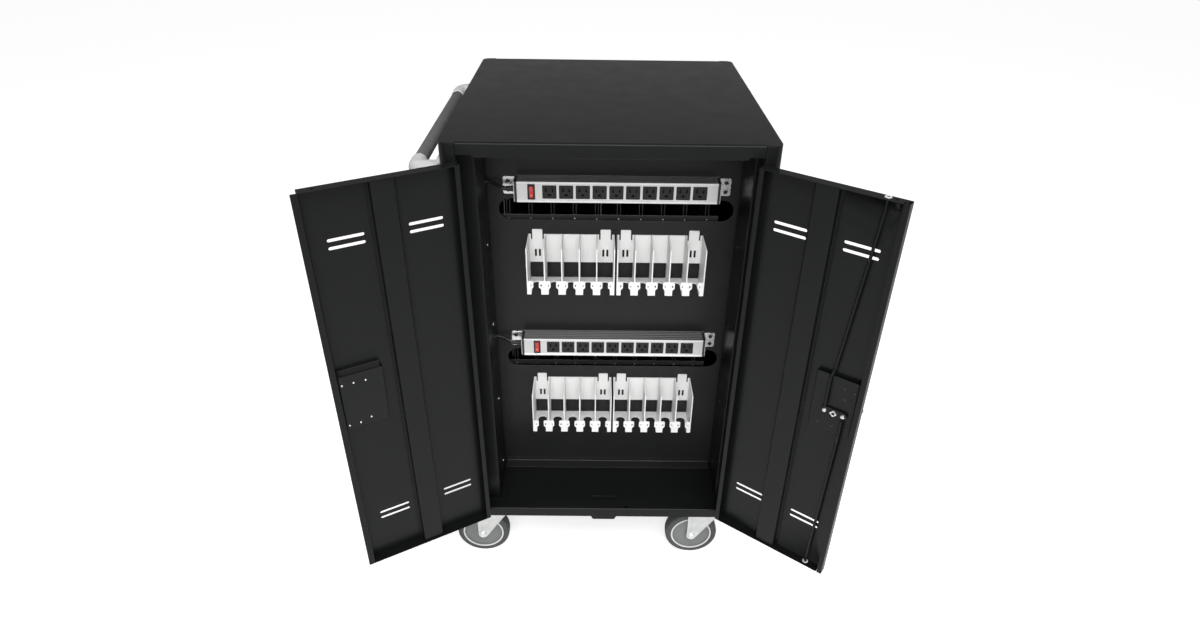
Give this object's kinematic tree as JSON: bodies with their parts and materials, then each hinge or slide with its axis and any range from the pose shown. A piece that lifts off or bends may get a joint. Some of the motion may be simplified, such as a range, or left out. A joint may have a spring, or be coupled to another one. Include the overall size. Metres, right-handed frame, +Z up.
{
  "type": "laptop charging cart",
  "caption": "Steel cabinet on swivel casters with double doors at both ends, power strips, adapter holders, divided laptop bays and a side push handle.",
  "frame": {"origin": "on the floor, at the middle of the box round the cart with its rear doors open", "axes": "+Z up, -Y towards the rear doors that stand open, -X towards the push handle"},
  "size_m": [0.982, 0.836, 1.052],
  "materials": {
    "powder_coat": "fine-textured matt black powder coat",
    "aluminium": "satin anodised extrusion",
    "black_plastic": "moulded, slightly textured",
    "white_plastic": "moulded, satin",
    "grey_plastic": "moulded, satin",
    "red_plastic": "glossy",
    "zinc": "bright zinc plate",
    "tyre": "grey rubber tread",
    "grip_rubber": "matt soft grip"
  },
  "bodies": {
    "cabinet": {"top_panel": "powder_coat", "left_side_panel": "powder_coat", "right_side_panel": "powder_coat", "base_panel": "powder_coat", "left_caster_rail": "powder_coat", "right_caster_rail": "powder_coat", "middle_partition": "powder_coat", "left_cable_duct": "powder_coat", "right_rail": "powder_coat", "upper_shelf": "powder_coat", "power_inlet": "black_plastic", "handle_grip": "grip_rubber", "rear_handle_bracket": "grey_plastic", "front_handle_bracket": "grey_plastic", "lower_divider_rack": "powder_coat", "lower_strip_housing": "aluminium", "lower_outlet_bank": "black_plastic", "lower_left_strip_ear": "zinc", "lower_right_strip_ear": "zinc", "lower_strip_lead": "black_plastic", "lower_left_adapter_holder": "white_plastic", "lower_right_adapter_holder": "white_plastic", "upper_divider_rack": "powder_coat", "upper_strip_housing": "aluminium", "upper_outlet_bank": "black_plastic", "upper_left_strip_ear": "zinc", "upper_right_strip_ear": "zinc", "upper_strip_lead": "black_plastic", "upper_left_adapter_holder": "white_plastic", "upper_right_adapter_holder": "white_plastic", "rear_left_caster_plate": "zinc", "rear_right_caster_plate": "zinc", "front_left_caster_plate": "zinc", "front_right_caster_plate": "zinc"},
    "rear_left_door": {"rear_left_door": "powder_coat", "rear_left_stiffener": "powder_coat", "rear_strike_cover": "powder_coat"},
    "rear_right_door": {"rear_right_door": "powder_coat", "rear_right_stiffener": "powder_coat", "rear_lock_box": "powder_coat"},
    "rear_lock": {"rear_lock_handle": "black_plastic", "rear_lock_cam": "powder_coat"},
    "upper_lock_rod": {"upper_lock_rod": "powder_coat"},
    "lower_lock_rod": {"lower_lock_rod": "powder_coat"},
    "front_left_door": {"front_left_door": "powder_coat", "front_left_stiffener": "powder_coat"},
    "front_right_door": {"front_right_door": "powder_coat", "front_right_stiffener": "powder_coat"},
    "front_lock": {"front_lock_handle": "black_plastic"},
    "rear_left_caster": {"rear_left_caster_fork": "zinc"},
    "rear_left_wheel": {"rear_left_caster_wheel": "tyre"},
    "rear_right_caster": {"rear_right_caster_fork": "zinc"},
    "rear_right_wheel": {"rear_right_caster_wheel": "tyre"},
    "front_left_caster": {"front_left_caster_fork": "zinc"},
    "front_left_wheel": {"front_left_caster_wheel": "tyre"},
    "front_right_caster": {"front_right_caster_fork": "zinc"},
    "front_right_wheel": {"front_right_caster_wheel": "tyre"},
    "lower_rocker": {"lower_rocker_switch": "red_plastic"},
    "upper_rocker": {"upper_rocker_switch": "red_plastic"}
  },
  "joints": [
    {"name": "rear_left_door_hinge", "type": "hinge", "parent": "cabinet", "child": "rear_left_door", "pos_m": [-0.26188, -0.24183, 0.602], "axis": [0, 0, 1], "range_deg": [-25, 150]},
    {"name": "rear_right_door_hinge", "type": "hinge", "parent": "cabinet", "child": "rear_right_door", "pos_m": [0.27662, -0.24183, 0.602], "axis": [0, 0, -1], "range_deg": [-32, 143]},
    {"name": "rear_lock_turn", "type": "hinge", "parent": "rear_right_door", "child": "rear_lock", "pos_m": [0.44354, -0.36761, 0.587], "axis": [0.6018, 0.7986, 0], "range_deg": [0, 91]},
    {"name": "upper_rod_slide", "type": "slide", "parent": "rear_right_door", "child": "upper_lock_rod", "axis": [0, 0, 1], "range_m": [0, 0.018]},
    {"name": "lower_rod_slide", "type": "slide", "parent": "rear_right_door", "child": "lower_lock_rod", "axis": [0, 0, -1], "range_m": [0, 0.0182]},
    {"name": "front_left_door_hinge", "type": "hinge", "parent": "cabinet", "child": "front_left_door", "pos_m": [0.27662, 0.39617, 0.602], "axis": [0, 0, -1], "range_deg": [0, 175]},
    {"name": "front_right_door_hinge", "type": "hinge", "parent": "cabinet", "child": "front_right_door", "pos_m": [-0.26188, 0.39617, 0.602], "axis": [0, 0, 1], "range_deg": [0, 175]},
    {"name": "front_lock_turn", "type": "hinge", "parent": "front_right_door", "child": "front_lock", "pos_m": [-0.05288, 0.38967, 0.587], "axis": [0, 1, 0], "range_deg": [0, 90]},
    {"name": "rear_left_caster_swivel", "type": "hinge", "parent": "cabinet", "child": "rear_left_caster", "pos_m": [-0.24563, -0.18533, 0.1], "axis": [0, 0, 1], "continuous": true},
    {"name": "rear_left_wheel_spin", "type": "hinge", "parent": "rear_left_caster", "child": "rear_left_wheel", "pos_m": [-0.28363, -0.18533, 0.0625], "axis": [0, 1, 0], "continuous": true},
    {"name": "rear_right_caster_swivel", "type": "hinge", "parent": "cabinet", "child": "rear_right_caster", "pos_m": [0.26037, -0.18533, 0.1], "axis": [0, 0, 1], "continuous": true},
    {"name": "rear_right_wheel_spin", "type": "hinge", "parent": "rear_right_caster", "child": "rear_right_wheel", "pos_m": [0.22237, -0.18533, 0.0625], "axis": [0, 1, 0], "continuous": true},
    {"name": "front_left_caster_swivel", "type": "hinge", "parent": "cabinet", "child": "front_left_caster", "pos_m": [0.26037, 0.33967, 0.1], "axis": [0, 0, 1], "continuous": true},
    {"name": "front_left_wheel_spin", "type": "hinge", "parent": "front_left_caster", "child": "front_left_wheel", "pos_m": [0.22237, 0.33967, 0.0625], "axis": [0, 1, 0], "continuous": true},
    {"name": "front_right_caster_swivel", "type": "hinge", "parent": "cabinet", "child": "front_right_caster", "pos_m": [-0.24563, 0.33967, 0.1], "axis": [0, 0, 1], "continuous": true},
    {"name": "front_right_wheel_spin", "type": "hinge", "parent": "front_right_caster", "child": "front_right_wheel", "pos_m": [-0.28363, 0.33967, 0.0625], "axis": [0, 1, 0], "continuous": true},
    {"name": "lower_rocker_tilt", "type": "hinge", "parent": "cabinet", "child": "lower_rocker", "pos_m": [-0.14413, -0.11043, 0.547], "axis": [-1, 0, 0], "range_deg": [0, 14]},
    {"name": "upper_rocker_tilt", "type": "hinge", "parent": "cabinet", "child": "upper_rocker", "pos_m": [-0.14413, -0.11043, 0.912], "axis": [-1, 0, 0], "range_deg": [0, 14]}
  ],
  "couplings": [
    {"joint": "rear_lock_turn", "follows": "upper_rod_slide", "rad_per_m": 87.266},
    {"joint": "lower_rod_slide", "follows": "upper_rod_slide", "ratio": 1}
  ]
}
